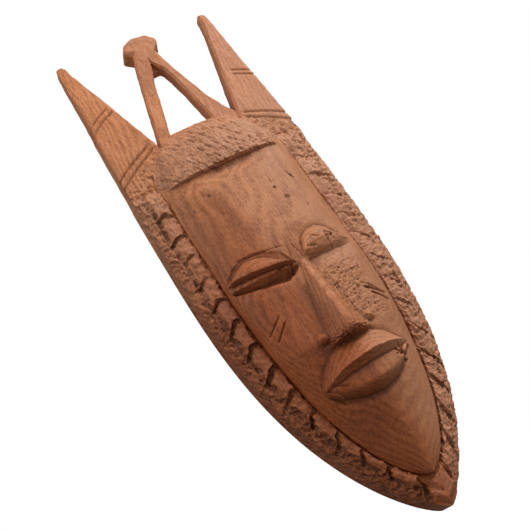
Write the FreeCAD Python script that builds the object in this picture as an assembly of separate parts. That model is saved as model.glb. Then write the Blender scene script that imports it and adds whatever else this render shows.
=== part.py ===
"""Carved wooden wall mask: a pointed-oval face in a carved border, with two horns and a crest.

Millimetres. +Z is up, the flat back is the plane y = 0 and the face looks along -Y.
While it is built, heights are measured up from the mask's bottom tip. At the end every
piece is lowered, so that the origin is the point of the flat back above the hollow.
"""
import FreeCAD, Part

import math
import os

# Driving dimensions
HEIGHT = 342.0            # bottom tip to horn tips
HALF_WIDTH = 56.5         # centre to the outer edge at the widest height
WIDEST_AT = 190.0         # height of the widest place
BOARD_DEPTH = 12.0        # thickness of the board that everything stands on
BORDER_DEPTH = 20.0       # how far the border's crown stands out from the back
SHOULDER = 228.0          # height where the board ends and the horns begin
ORIGIN_HEIGHT = 220.0     # height of the origin, on the solid wood above the hollow

# Face panel
CHIN_POINT = 17.0
FACE_WIDEST_AT = 184.0
FACE_HALF_WIDTH = 39.5
FACE_TOP = 219.0
FACE_DEPTH = 36.0         # cheeks, measured from the back
FACE_EDGE_DEPTH = 20.0    # where the panel's side wall meets the border
DEEPEST_AT = 120.0
BROW = 154.0              # seam between forehead and cheeks
JAW = 62.0                # seam between cheeks and chin

# Hollow in the back
HOLLOW_BOTTOM = 24.0
HOLLOW_WIDEST_AT = 150.0
HOLLOW_TOP = 212.0
HOLLOW_HALF_WIDTH = 40.0
HOLLOW_CENTRE = 120.0
HOLLOW_DEPTH = 20.0
HOLLOW_FLOOR_SCALE = 0.78

# Row of blocks along the border
BLOCK_SPACING = 15.3
BLOCK_LENGTH = 11.5
BLOCK_WIDTH = 7.5
BLOCK_FOOT = 13.0
BLOCK_TOP = 22.5
BLOCK_OFFSET = 5.6        # from the face panel's edge to the middle of the row
BLOCK_COUNT = 14
FIRST_BLOCK_AT = 19.0

# Horns: inner edge at each height, and the middle of each cut line on the front
HORN_HEIGHTS = (SHOULDER, 258.0, 336.0, HEIGHT)
HORN_BACK = (0.0, 0.5, 3.5, 6.0)
HORN_FRONT = (18.0, 17.0, 13.5, 11.0)
HORN_TIP = 52.6           # outer edge of the tip
HORN_INNER = {"left": (15.7, 25.8, 46.6, 49.2), "right": (15.7, 30.8, 47.8, 49.4)}
HORN_CUTS = {"left": ((43.5, 250.0), (41.0, 245.5), (48.0, 290.0), (47.0, 285.5)),
             "right": ((43.0, 247.0), (43.5, 242.0), (48.6, 283.0), (48.4, 278.5))}
CUT_SLOPE = {"left": 36, "right": 30}
CUT_WIDTH = 1.2
CUT_DEPTH = 0.8

# Crest
KNOB_X = 1.2
KNOB_HEIGHT = 330.5
STRUT_BACK = 4.0
STRUT_FRONT = 15.0

# Hanger on the floor of the hollow
PIVOT_HEIGHT = 176.0
PIVOT_DEPTH = 17.2
STRAP_WIDTH = 10.0
STRAP_THICKNESS = 0.9
STRAP_FOOT = 153.0
BARREL_BORE = 1.05
RING_WIRE = 1.0           # radius of the ring's wire
RING_HALF_WIDTH = 8.0
RING_DROP = 6.0           # straight stretch before the ring's round end
SCREW_HEIGHT = 157.2
SCREW_RADIUS = 1.4
SCREW_LENGTH = 8.5
SCREW_HEAD_RADIUS = 3.0
SCREW_HEAD_HEIGHT = 1.6

ACROSS = FreeCAD.Vector(1, 0, 0)
BACKWARD = FreeCAD.Vector(0, 1, 0)
FORWARD = FreeCAD.Vector(0, -1, 0)
UP = FreeCAD.Vector(0, 0, 1)
SIDES = {"left": -1, "right": 1}
BIG = 1000.0


def vec(x, depth, height):
    """A point that stands `depth` in front of the flat back."""
    return FreeCAD.Vector(x, -depth, height)


def pointed(height, bottom, widest_at, half_width, fullness):
    """Half-width of a pointed arch that is closed at the bottom."""
    rise = min(1.0, max(0.0, (height - bottom) / (widest_at - bottom)))
    return half_width * (1 - (1 - rise) ** 3) ** fullness


def outline(height):
    """Half-width of the whole mask."""
    if height <= WIDEST_AT:
        return pointed(height, 0, WIDEST_AT, HALF_WIDTH, 0.8)
    lean = 3.7 * ((height - WIDEST_AT) / (HEIGHT - WIDEST_AT)) ** 2
    return HALF_WIDTH - lean


def crown(height):
    """Half-width of the border's crown."""
    return pointed(height, 7, WIDEST_AT, 46.0, 0.72)


def face_edge(height):
    """Half-width of the face panel."""
    return pointed(height, CHIN_POINT, FACE_WIDEST_AT, FACE_HALF_WIDTH, 0.65)


def hollow_edge(height):
    """Half-width of the hollow's mouth: pointed below, round above."""
    if height <= HOLLOW_WIDEST_AT:
        return pointed(height, HOLLOW_BOTTOM, HOLLOW_WIDEST_AT, HOLLOW_HALF_WIDTH, 0.65)
    rise = (height - HOLLOW_WIDEST_AT) / (HOLLOW_TOP - HOLLOW_WIDEST_AT)
    return HOLLOW_HALF_WIDTH * math.sqrt(max(0.0, 1 - rise ** 2))


def spline(points):
    curve = Part.BSplineCurve()
    curve.interpolate(points)
    return curve.toShape()


def arch_wire(half_width_at, bottom, top, depth, steps=14):
    """Closed outline, pointed at the bottom and straight across the top."""
    heights = [bottom + (top - bottom) * (i / steps) ** 2 for i in range(steps + 1)]
    right = [vec(half_width_at(h), depth, h) for h in heights]
    left = [vec(-half_width_at(h), depth, h) for h in reversed(heights)]
    return Part.Wire([spline(right), Part.makeLine(right[-1], left[0]), spline(left)])


def oval_wire(half_width_at, bottom, top, depth, scale, centre, steps=24):
    """Closed outline that is closed at the bottom and at the top."""
    heights = [bottom + (top - bottom) * (1 - math.cos(math.pi * i / steps)) / 2 for i in range(steps + 1)]
    right = [vec(scale * half_width_at(h), depth, centre + scale * (h - centre)) for h in heights]
    left = [FreeCAD.Vector(-p.x, p.y, p.z) for p in reversed(right)]
    return Part.Wire([spline(right), spline(left)])


def loft(wires, ruled=False):
    return Part.makeLoft(wires, True, ruled)


def polygon(points):
    return Part.makePolygon(points + points[:1])


def prism(wire, thickness):
    """Extrudes an outline that lies parallel to the back, forward by `thickness`."""
    return Part.Face(wire).extrude(FORWARD * thickness)


def between(low, high, side=0):
    """A block of space between two heights: all of it, or its left (-1) or right (1) half."""
    west = 0 if side > 0 else -BIG
    east = 0 if side < 0 else BIG
    return Part.makeBox(east - west, 2 * BIG, high - low, FreeCAD.Vector(west, -BIG, low))


def mirrored(shape):
    return shape.mirror(FreeCAD.Vector(0, 0, 0), ACROSS)


# ---- raw forms, which overlap until they are cut against each other ----

def face_depth(height):
    """How far the middle of the face panel stands out from the back."""
    if height < DEEPEST_AT:
        fall = ((DEEPEST_AT - height) / (DEEPEST_AT - CHIN_POINT)) ** 2.5
        return FACE_DEPTH - 13.0 * fall
    return FACE_DEPTH - 8.0 * ((height - DEEPEST_AT) / (FACE_TOP - DEEPEST_AT)) ** 2


def face_section(height):
    """Crowned front, straight side walls and flat back, at one height."""
    half = face_edge(height)
    rise = face_depth(height) - FACE_EDGE_DEPTH
    shares = (-1, -0.92, -0.6, 0, 0.6, 0.92, 1)
    front = [vec(s * half, FACE_EDGE_DEPTH + rise * (1 - abs(s) ** 3) ** 0.5, height) for s in shares]
    back_left = vec(-half, BOARD_DEPTH, height)
    back_right = vec(half, BOARD_DEPTH, height)
    edges = [Part.makeLine(back_left, front[0]), spline(front)]
    edges += [Part.makeLine(front[-1], back_right), Part.makeLine(back_right, back_left)]
    return Part.Wire(edges)


def face_form():
    heights = (18.5, 24, 34, 50, 72, 100, 130, 160, 190, FACE_TOP)
    return loft([face_section(h) for h in heights])


def hollow_form():
    """The hollow: its walls slope in towards a flat floor."""
    def wire(depth):
        scale = 1 - (1 - HOLLOW_FLOOR_SCALE) * depth / HOLLOW_DEPTH
        return oval_wire(hollow_edge, HOLLOW_BOTTOM, HOLLOW_TOP, depth, scale, HOLLOW_CENTRE)

    return loft([wire(-2.0), wire(HOLLOW_DEPTH)], ruled=True)


def border_form():
    """The board's front, sloping up from the outline to the crown."""
    outer = arch_wire(outline, 0, SHOULDER, BOARD_DEPTH)
    inner = arch_wire(crown, 7, SHOULDER, BORDER_DEPTH)
    return loft([outer, inner], ruled=True)


def hair_form():
    """Thick cap of hair between the horns, with a rounded front."""
    sections = []
    for height, half, depth in ((217, 41, 30), (228, 38.5, 29.5), (243, 33, 26), (258, 26, 17)):
        side = 0.6 * depth
        front = [vec(-half, side, height), vec(-0.6 * half, 0.93 * depth, height), vec(0, depth, height),
                 vec(0.6 * half, 0.93 * depth, height), vec(half, side, height)]
        back_left = vec(-half, 0, height)
        back_right = vec(half, 0, height)
        edges = [Part.makeLine(back_left, front[0]), spline(front)]
        edges += [Part.makeLine(front[-1], back_right), Part.makeLine(back_right, back_left)]
        sections.append(Part.Wire(edges))
    return loft(sections, ruled=True)


def horn_section(inner, outer, back, front, height):
    bevel = 0.3 * (outer - inner)
    shoulder = back + 0.45 * (front - back)
    return polygon([vec(inner, back, height), vec(outer, back, height), vec(outer, shoulder, height),
                    vec(outer - bevel, front, height), vec(inner + bevel, front, height),
                    vec(inner, shoulder, height)])


def horn_form(name):
    """One horn, built on the right: wide at its base, blunt at its tip, with two pairs of cut lines."""
    sections = []
    for height, inner, back, front in zip(HORN_HEIGHTS, HORN_INNER[name], HORN_BACK, HORN_FRONT):
        outer = HORN_TIP if height == HEIGHT else outline(height)
        sections.append(horn_section(inner, outer, back, front, height))
    horn = loft(sections, ruled=True)
    for x, height in HORN_CUTS[name]:
        depth = HORN_FRONT[1] - (HORN_FRONT[1] - HORN_FRONT[2]) * (height - 258) / 78
        line = Part.makeBox(40, 4, CUT_WIDTH, vec(x - 20, depth + 4 - CUT_DEPTH, height))
        line.rotate(vec(x, depth, height), BACKWARD, CUT_SLOPE[name])
        horn = horn.cut(line)
    return horn


def strut_form(side):
    """Squared bar from the hair up to the knob. The right one widens at its foot and into a web on top."""
    sections = ((324, -7.0, 3.6), (300, -13.0, -3.5), (270, -20.0, -10.6), (254, -24.5, -14.5))
    if side > 0:
        sections = ((324, -1.0, 8.4), (312.5, 0.5, 10.6), (311, 5.6, 11.2), (300, 8.0, 14.8),
                    (276, 12.2, 21.2), (254, 14.5, 31.0))
    wires = []
    for height, low, high in sections:
        wires.append(polygon([vec(low, STRUT_BACK, height), vec(high, STRUT_BACK, height),
                              vec(high, STRUT_FRONT, height), vec(low, STRUT_FRONT, height)]))
    return loft(wires, ruled=True)


def knob_form():
    """Faceted knob, six-sided from the front and bevelled front and back."""
    def hexagon(depth, half, tall):
        corners = ((-half, 0), (-0.5 * half, tall), (0.5 * half, tall),
                   (half, 0), (0.5 * half, -tall), (-0.5 * half, -tall))
        return polygon([vec(KNOB_X + x, depth, KNOB_HEIGHT + z) for x, z in corners])

    return loft([hexagon(5, 10, 5.5), hexagon(8, 13, 7.5), hexagon(13.5, 13, 7.5), hexagon(16.5, 10, 5.5)],
                ruled=True)


def nose_form():
    """Wedge with a narrow flat ridge, undercut at the nostrils."""
    def section(height, root, ridge, depth):
        return polygon([vec(-root, 28, height), vec(root, 28, height),
                        vec(ridge, depth, height), vec(-ridge, depth, height)])

    return loft([section(142, 3.5, 1.2, 34.5), section(116, 10, 1.6, 41.8),
                 section(93, 15.0, 2.0, 47.0), section(88.5, 13, 1.8, 37)], ruled=True)


def lens(x_low, x_high, height, rise, drop):
    """Outline of two arcs that meet in points, wide across."""
    start = vec(x_low, 24, height)
    end = vec(x_high, 24, height)
    middle = (x_low + x_high) / 2
    top = Part.Arc(start, vec(middle, 24, height + rise), end).toShape()
    bottom = Part.Arc(end, vec(middle, 24, height - drop), start).toShape()
    return Part.Wire([top, bottom])


def crowned(wire, height, crown_depth, radius):
    """Extrudes an outline forward and rounds its front over a roll that lies across the mask."""
    roll = Part.makeCylinder(radius, 200, vec(-100, crown_depth - radius, height), ACROSS)
    return prism(wire, 30).common(roll)


def eyelid_form():
    return crowned(lens(4, 34, 141, 13, 5), 142, 38.5, 14)


def upper_lip_form():
    return crowned(lens(-25, 25, 77, 13, -1), 79, 45, 15)


def lower_lip_form():
    return crowned(lens(-24, 24, 75.5, 0.5, 13), 71, 44, 15)


def block_forms():
    """Row of separate blocks up the right border, from beside the chin to the hair."""
    blocks = []
    height = FIRST_BLOCK_AT
    for _ in range(BLOCK_COUNT):
        step = 0.5
        turn = math.atan2(face_edge(height + step) - face_edge(height - step), 2 * step)
        x = face_edge(height) + BLOCK_OFFSET * math.cos(turn)
        z = height - BLOCK_OFFSET * math.sin(turn)
        block = Part.makeBox(BLOCK_WIDTH, BLOCK_TOP - BLOCK_FOOT, BLOCK_LENGTH,
                             FreeCAD.Vector(-BLOCK_WIDTH / 2, -BLOCK_TOP, -BLOCK_LENGTH / 2))
        block.rotate(FreeCAD.Vector(0, 0, 0), BACKWARD, math.degrees(turn))
        block.translate(FreeCAD.Vector(x, 0, z))
        blocks.append(block)
        height += BLOCK_SPACING * math.cos(turn)
    return blocks


def cheek_marks(face_solid):
    """Two short parallel cuts on the right cheek, shallow because they stop at a smaller face."""
    cuts = []
    for height in (107.5, 102.0):
        cut = Part.makeBox(9, 20, 1.4, vec(24, 50, height))
        cut.rotate(vec(28, 30, height), BACKWARD, 40)
        cuts.append(cut)
    bed = face_solid.scaled(0.975, vec(0, 0, 105))
    return [cut.cut(bed) for cut in cuts]


# ---- hanger ----

def hanger_strap():
    """Folded strap: a plate with a screw hole, rolled at its top round the ring's bar."""
    roll_radius = BARREL_BORE + STRAP_THICKNESS
    length = PIVOT_HEIGHT + roll_radius - STRAP_FOOT
    plate = Part.makeBox(STRAP_WIDTH, STRAP_THICKNESS, length,
                         vec(-STRAP_WIDTH / 2, HOLLOW_DEPTH, STRAP_FOOT))
    roll_end = vec(-STRAP_WIDTH / 2, PIVOT_DEPTH, PIVOT_HEIGHT)
    roll = Part.makeCylinder(roll_radius, STRAP_WIDTH, roll_end, ACROSS)
    bore = Part.makeCylinder(BARREL_BORE, STRAP_WIDTH, roll_end, ACROSS)
    hole = Part.makeCylinder(SCREW_RADIUS, STRAP_THICKNESS, vec(0, HOLLOW_DEPTH, SCREW_HEIGHT), BACKWARD)
    return plate.fuse(roll).removeSplitter().cut(bore).cut(hole)


def hanger_screw():
    plate_top = HOLLOW_DEPTH - STRAP_THICKNESS
    point = vec(0, plate_top + SCREW_LENGTH, SCREW_HEIGHT)
    seat = vec(0, plate_top, SCREW_HEIGHT)
    shank = Part.makeCylinder(SCREW_RADIUS, SCREW_LENGTH, point, BACKWARD)
    head = Part.makeCylinder(SCREW_HEAD_RADIUS, SCREW_HEAD_HEIGHT, seat, BACKWARD)
    return shank.fuse(head).removeSplitter()


def hanger_ring():
    """D-shaped wire ring, hanging down from the strap's roll."""
    half = RING_HALF_WIDTH
    low = PIVOT_HEIGHT - RING_DROP
    corners = [vec(-half, PIVOT_DEPTH, PIVOT_HEIGHT), vec(half, PIVOT_DEPTH, PIVOT_HEIGHT),
               vec(half, PIVOT_DEPTH, low), vec(-half, PIVOT_DEPTH, low)]
    bend = Part.Arc(corners[2], vec(0, PIVOT_DEPTH, low - half), corners[3]).toShape()
    path = Part.Wire([Part.makeLine(corners[1], corners[2]), bend, Part.makeLine(corners[3], corners[0])])
    section = Part.Wire([Part.makeCircle(RING_WIRE, corners[1], UP)])
    loop = path.makePipeShell([section], True, False)
    bar = Part.makeCylinder(RING_WIRE, 2 * half, corners[0], ACROSS)
    knees = [Part.makeSphere(RING_WIRE, corner) for corner in corners[:2]]
    return bar.multiFuse([loop] + knees).removeSplitter()


# ---- the pieces, cut against each other so that they meet face to face ----

def wooden_pieces():
    hollow = hollow_form()
    face_solid = face_form()
    hair_solid = hair_form()
    face = face_solid.cut(hollow)
    board = prism(arch_wire(outline, 0, SHOULDER, 0), BOARD_DEPTH).cut(hollow)
    knob = knob_form()
    pieces = {"back_board": board, "crest_knob": knob}
    pieces["hair_band"] = hair_solid.cut(board).cut(face_solid)
    pieces["forehead"] = face.common(between(BROW, BIG))
    pieces["chin"] = face.common(between(0, JAW))
    pieces["nose"] = nose_form().cut(face_solid)
    pieces["upper_lip"] = upper_lip_form().cut(face_solid).cut(pieces["nose"])
    pieces["lower_lip"] = lower_lip_form().cut(face_solid).cut(pieces["upper_lip"])

    blocks = [block.cut(face_solid).cut(hair_solid) for block in block_forms()]
    rows = {"right": Part.makeCompound(blocks),
            "left": Part.makeCompound([mirrored(block) for block in blocks])}
    marks = {"right": Part.makeCompound(cheek_marks(face_solid))}
    marks["left"] = mirrored(marks["right"])
    border = border_form().cut(face_solid).cut(hair_solid).cut(rows["left"]).cut(rows["right"])
    pieces["chin_block"] = border.common(between(-1, CHIN_POINT))
    for name, side in SIDES.items():
        lid = eyelid_form().cut(face_solid)
        horn = horn_form(name).cut(hair_solid)
        if side < 0:
            lid = mirrored(lid)
            horn = mirrored(horn)
        pieces["border_" + name] = border.common(between(CHIN_POINT, BIG, side))
        pieces["border_blocks_" + name] = rows[name]
        pieces["cheek_" + name] = face.common(between(JAW, BROW, side)).cut(marks[name])
        pieces["eyelid_" + name] = lid.cut(pieces["nose"])
        pieces["horn_" + name] = horn
        pieces["crest_strut_" + name] = strut_form(side).cut(hair_solid).cut(knob).cut(horn)
    pieces["crest_strut_right"] = pieces["crest_strut_right"].cut(pieces["crest_strut_left"])
    return pieces


def all_pieces():
    pieces = wooden_pieces()
    screw = hanger_screw()
    pieces["forehead"] = pieces["forehead"].cut(screw)
    pieces["hanger_strap"] = hanger_strap()
    pieces["hanger_screw"] = screw
    pieces["hanger_ring"] = hanger_ring()
    return pieces


def main():
    os.makedirs("parts", exist_ok=True)
    for name, shape in all_pieces().items():
        shape.translate(FreeCAD.Vector(0, 0, -ORIGIN_HEIGHT))
        solids = shape.Solids
        print(f"{name:20s} solids {len(solids):2d} valid {shape.isValid()} volume {shape.Volume:10.1f}")
        shape = solids[0] if len(solids) == 1 else Part.makeCompound(solids)
        shape.exportStep(f"parts/{name}.step")


main()
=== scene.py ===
"""Carved wooden wall mask: the visible model, its materials, light and camera.

Shapes are worked out in millimetres from the mask's bottom tip: x to the viewer's right,
height up, depth out from the flat back towards the viewer. placed() turns them into the
frame's metres.
"""
import math

import bpy
import numpy as np
from mathutils import Matrix, Vector


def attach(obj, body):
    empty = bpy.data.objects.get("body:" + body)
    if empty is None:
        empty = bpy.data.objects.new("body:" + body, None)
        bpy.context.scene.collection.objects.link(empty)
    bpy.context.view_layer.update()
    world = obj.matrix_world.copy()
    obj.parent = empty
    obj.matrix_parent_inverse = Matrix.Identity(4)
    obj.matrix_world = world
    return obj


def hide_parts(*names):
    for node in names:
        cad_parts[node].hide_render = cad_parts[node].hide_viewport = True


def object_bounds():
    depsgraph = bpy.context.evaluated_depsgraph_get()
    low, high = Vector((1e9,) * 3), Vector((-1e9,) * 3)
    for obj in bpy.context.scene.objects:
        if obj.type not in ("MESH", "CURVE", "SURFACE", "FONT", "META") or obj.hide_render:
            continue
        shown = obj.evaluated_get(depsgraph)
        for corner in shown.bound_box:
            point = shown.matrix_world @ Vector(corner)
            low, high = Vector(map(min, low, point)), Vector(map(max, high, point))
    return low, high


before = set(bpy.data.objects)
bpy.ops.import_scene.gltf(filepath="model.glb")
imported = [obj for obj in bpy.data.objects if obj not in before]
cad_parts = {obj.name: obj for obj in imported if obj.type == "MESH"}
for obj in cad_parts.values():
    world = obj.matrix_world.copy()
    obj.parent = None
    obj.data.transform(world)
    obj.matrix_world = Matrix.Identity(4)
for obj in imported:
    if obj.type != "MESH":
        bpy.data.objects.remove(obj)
cad_box = [list(corner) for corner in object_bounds()]
scene = bpy.context.scene

MM = 0.001
TIP = cad_box[0][2]  # height of the bottom tip in the frame
SIDE_LIMIT = cad_box[1][0] / MM
TOP_LIMIT = (cad_box[1][2] - TIP) / MM
DEPTH_LIMIT = -cad_box[0][1] / MM
TURN = 2 * math.pi
SHARP_ANGLE = math.radians(42)

# Plan of the carving. A fullness below 1 rounds a pointed outline out.
SHOULDER = 228
HALF_WIDTH = 56.5
WIDEST_AT = 190
OUTLINE_FULLNESS = 0.8
TAPER = 3.7  # how much narrower the outline is TAPER_LENGTH above its widest
TAPER_LENGTH = 150
FACE_FOOT = 17
FACE_TOP = 219
FACE_HALF_WIDTH = 39.5
FACE_WIDEST_AT = 184
FACE_FULLNESS = 0.65
FACE_EDGE_DEPTH = 20
CROWN_HEIGHT = 120  # where the plain face stands out furthest
CROWN_DEPTH = 36
CHIN_FALL = 13  # from the crown to the face's foot
FOREHEAD_FALL = 8
HOLLOW_FOOT = 24
HOLLOW_WIDEST_AT = 150
HOLLOW_TOP = 212
HOLLOW_HALF_WIDTH = 40
HOLLOW_CENTRE = 120
HOLLOW_DEPTH = 20
FLOOR_SCALE = 0.78
CHIN_REACH = 8  # along the border, from the tip to its end notch
BLOCK_SPACING = 15.3


# ---- numbers and noise
# Each use of chips, noise or rough has a seed. Pieces with the same seed share one running pattern.

def clamp(value, low=0, high=1):
    return np.clip(value, low, high)


def ease(low, high, value):
    """0 at low, 1 at high, smooth between."""
    t = clamp((value - low) / (high - low))
    return t * t * (3 - 2 * t)


def hill(value, centre, half):
    """1 at the centre, 0 beyond half, smooth between."""
    t = clamp(1 - ((value - centre) / half) ** 2)
    return t * t


def within(value, start, full, still, end):
    """1 from full to still, 0 before start and after end, smooth between."""
    return ease(start, full, value) * ease(end, still, value)


def follow(value, *lines):
    """The value of a straight-line curve through (at, value) points, or of each of several."""
    found = [np.interp(value, *zip(*line)) for line in lines]
    return found if len(found) > 1 else found[0]


def chance(i, j, k, seed):
    """A repeatable random number from 0 to 1 for each whole place."""
    n = (i * 374761393 + j * 668265263 + k * 974711 + seed * 144269) & 0xFFFFFFFF
    n = ((n ^ (n >> 13)) * 1274126177) & 0xFFFFFFFF
    n = ((n ^ (n >> 15)) * 2246822519) & 0xFFFFFFFF
    return ((n ^ (n >> 16)) & 0xFFFFFF) / float(0xFFFFFF)


def noise(points, size, seed):
    """Smooth noise from -1 to 1, with bumps about one size across."""
    q = points / np.asarray(size, float)
    cell = np.floor(q).astype(np.int64)
    part = q - cell
    part = part * part * (3 - 2 * part)
    total = 0
    for corner in np.ndindex(2, 2, 2):
        share = np.where(corner, part, 1 - part)
        spot = cell + corner
        luck = chance(spot[..., 0], spot[..., 1], spot[..., 2], seed)
        total += share[..., 0] * share[..., 1] * share[..., 2] * luck
    return 2 * total - 1


def rough(points, size, seed, octaves=3):
    """Several sizes of noise added up, each half the one before."""
    size = np.asarray(size, float)
    total = 0
    for octave in range(octaves):
        total += noise(points, size / 2 ** octave, seed + octave) / 2 ** octave
    return total / (2 - 0.5 ** (octaves - 1))


def chips(across, along, size, seed, slant=1):
    """Nearest of many scattered, turned ovals: distance from its middle, and its own chance."""
    gu, gv = across / size, along / size
    iu, iv = np.floor(gu).astype(np.int64), np.floor(gv).astype(np.int64)
    best = np.full(gu.shape, 9)
    owner = np.zeros(gu.shape)
    for du in (-1, 0, 1):
        for dv in (-1, 0, 1):
            cu, cv = iu + du, iv + dv
            luck = chance(cu, cv, 3, seed)
            turn = slant * TURN * luck
            u = gu - cu - 0.1 - 0.8 * chance(cu, cv, 1, seed)
            v = gv - cv - 0.1 - 0.8 * chance(cu, cv, 2, seed)
            long_way = (u * np.cos(turn) + v * np.sin(turn)) / 1.5
            short_way = (v * np.cos(turn) - u * np.sin(turn)) * 1.25
            away = long_way ** 2 + short_way ** 2
            nearer = away < best
            best = np.where(nearer, away, best)
            owner = np.where(nearer, luck, owner)
    return np.sqrt(best), owner


def pits(across, along, size, seed, reach):
    """1 in the middle of each of many scattered pits, 0 outside them."""
    return clamp(1 - chips(across, along, size, seed)[0] / reach)


def soft_max(first, second, blend):
    """The larger of two heights, with their meeting rounded over about the blend."""
    gap = clamp(blend - np.abs(first - second), 0, blend)
    return np.maximum(first, second) + gap * gap / (4 * blend)


def cut_line(x, z, ends, width, depth):
    """Depth of one straight knife cut that fades at both ends."""
    (x0, z0), (x1, z1) = ends
    dx, dz = x1 - x0, z1 - z0
    length = math.hypot(dx, dz)
    along = ((x - x0) * dx + (z - z0) * dz) / length ** 2
    aside = ((x - x0) * dz - (z - z0) * dx) / length
    return depth * within(along, -0.04, 0.12, 0.88, 1.04) * clamp(1 - np.abs(aside) / (width / 2))


# ---- plan curves

def pointed(height, foot, widest_at, half_width, fullness):
    rise = clamp((height - foot) / (widest_at - foot))
    return half_width * (1 - (1 - rise) ** 3) ** fullness


def outline(height):
    lower = pointed(height, 0, WIDEST_AT, HALF_WIDTH, OUTLINE_FULLNESS)
    upper = HALF_WIDTH - TAPER * ((height - WIDEST_AT) / TAPER_LENGTH) ** 2
    return np.where(height <= WIDEST_AT, lower, upper)


def face_edge(height):
    return pointed(height, FACE_FOOT, FACE_WIDEST_AT, FACE_HALF_WIDTH, FACE_FULLNESS)


def hollow_edge(height):
    lower = pointed(height, HOLLOW_FOOT, HOLLOW_WIDEST_AT, HOLLOW_HALF_WIDTH, FACE_FULLNESS)
    rise = clamp((height - HOLLOW_WIDEST_AT) / (HOLLOW_TOP - HOLLOW_WIDEST_AT))
    return np.where(height <= HOLLOW_WIDEST_AT, lower, HOLLOW_HALF_WIDTH * np.sqrt(1 - rise ** 2))


def lining_depth(x, z):
    """Depth of the hollow above a point of the back: 0 outside it, HOLLOW_DEPTH on its floor."""
    scale = np.ones(np.broadcast(x, z).shape)
    for share in np.linspace(1, FLOOR_SCALE, 45):
        height = HOLLOW_CENTRE + (z - HOLLOW_CENTRE) / share
        inside = (np.abs(x) / share < hollow_edge(height)) & (height > HOLLOW_FOOT) & (height < HOLLOW_TOP)
        scale = np.where(inside, share, scale)
    return HOLLOW_DEPTH * (1 - scale) / (1 - FLOOR_SCALE)


# ---- the face's relief

def panel(x, z):
    """The plain rounded face panel."""
    below = clamp((CROWN_HEIGHT - z) / (CROWN_HEIGHT - FACE_FOOT))
    above = clamp((z - CROWN_HEIGHT) / (FACE_TOP - CROWN_HEIGHT))
    crown = CROWN_DEPTH - np.where(z < CROWN_HEIGHT, CHIN_FALL * below ** 2.5, FOREHEAD_FALL * above ** 2)
    t = clamp(np.abs(x) / face_edge(z))
    power = 1.15 + 2.05 * ease(38, 100, z)
    roundness = 0.5 + 0.2 * ease(120, 165, z) + 0.26 * ease(105, 55, z) + 0.2 * ease(130, 160, z)
    return FACE_EDGE_DEPTH + (crown - FACE_EDGE_DEPTH) * clamp(1 - t ** power) ** roundness


# Lines of the left eye, as (distance left of the middle, height) points
BROW = ((1, 140), (3, 143), (6, 148), (9, 151), (13, 153.4), (20, 155.8), (27, 156.5), (32, 154.4),
        (37, 150.8), (39, 149.8))
LEFT_LID_TOP = ((4, 140.6), (7.5, 142.8), (9, 144.8), (12, 148.3), (15, 150.9), (20, 153.3), (26, 154.2),
                (31, 152.6), (35, 149.9), (38, 149.2))
LEFT_LID_EDGE = ((2, 140.2), (8, 141.6), (19, 143.8), (29, 146.2), (38, 149))
LOWER_RIM = ((2, 138.2), (8, 139.3), (20, 140.5), (30, 142.2), (38, 145))
RECESS_FLOOR = ((1, 138), (4, 136), (10, 133.3), (22, 136), (31, 139.8), (38, 144.2))


def left_eye(x, z):
    """Height added by the left eye: brow fold, domed lid, slit, lower rim and deep recess."""
    brow, top, edge, rim, floor = follow(-x, BROW, LEFT_LID_TOP, LEFT_LID_EDGE, LOWER_RIM, RECESS_FLOOR)
    inside = within(-x, 0.5, 4.5, 34, 38.5)
    up_the_lid = (z - edge) / np.maximum(top - edge, 1.2)
    lid = follow(up_the_lid, ((0, 3.3), (0.25, 3.3), (0.55, 2.7), (0.85, 0.9), (1, -1.2)))
    up_the_fold = (z - top) / np.maximum(brow - top, 0.9)
    fold = follow(up_the_fold, ((0, -1.2), (0.8, -1), (1.2, 0)))
    slot = follow(z - edge, ((-1.1, -1.5), (-0.25, 2.2), (0, 3.1)))
    ledge = -0.6 - 0.9 * clamp((z - rim - 1.6) / 0.8)
    down_the_recess = (rim - z) / np.maximum(rim - floor, 0.5)
    under = follow(down_the_recess, ((0, -0.6), (0.1, -1.6), (0.8, -5.2), (1, -5.2)))
    shelf = follow(floor - z, ((0, -5.2), (1.3, -1), (3, -0.4), (8, 0)))
    height = np.where(z >= top, fold, lid)
    height = np.where(z >= edge, height, np.maximum(slot, ledge))
    height = np.where(z < rim, under, height)
    height = np.where(z < floor, shelf, height)
    return height * inside


RIGHT_LID_TOP = ((4, 140), (5.5, 146), (8, 150.3), (11, 153), (15, 154.8), (20, 155), (25, 152), (29, 146.5),
                 (31, 141))
RIGHT_LID_FOOT = 140.5
RIGHT_LID = ((0, 0.5), (0.35, 2.2), (0.65, 1.9), (0.9, 0), (1, -1.2), (1.14, -0.5), (1.5, 0))
LID_CUTS = (
    # (from, to)
    ((20, 142.5), (28, 148)), ((21, 148), (28.5, 142.5)), ((24.5, 149.5), (24, 141.5)),
    ((19.5, 145), (30, 145.5)), ((22, 141.5), (27, 150)), ((12, 149.5), (17, 146)), ((7, 144), (13, 142.5)),
    ((20.3, 137.5), (20.9, 148)),
)
LID_CUT_WIDTH = 1.6
LID_CUT_DEPTH = 0.8


def right_eye(x, z):
    """Height added by the right eye: a plain round lid inside a groove, over a soft recess."""
    top = follow(x, RIGHT_LID_TOP)
    inside = within(x, 3, 6.5, 26, 36)
    up_the_lid = (z - RIGHT_LID_FOOT) / np.maximum(top - RIGHT_LID_FOOT, 1)
    lid = follow(up_the_lid, RIGHT_LID)
    below = follow(z, ((122, 0), (129, -0.6), (134.5, -1.8), (137.6, -2.1), (139.2, -0.7), (140.5, 0.4)))
    height = np.where(z >= RIGHT_LID_FOOT, lid, below)
    for ends in LID_CUTS:
        height -= cut_line(x, z, ends, LID_CUT_WIDTH, LID_CUT_DEPTH)
    return height * inside


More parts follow.
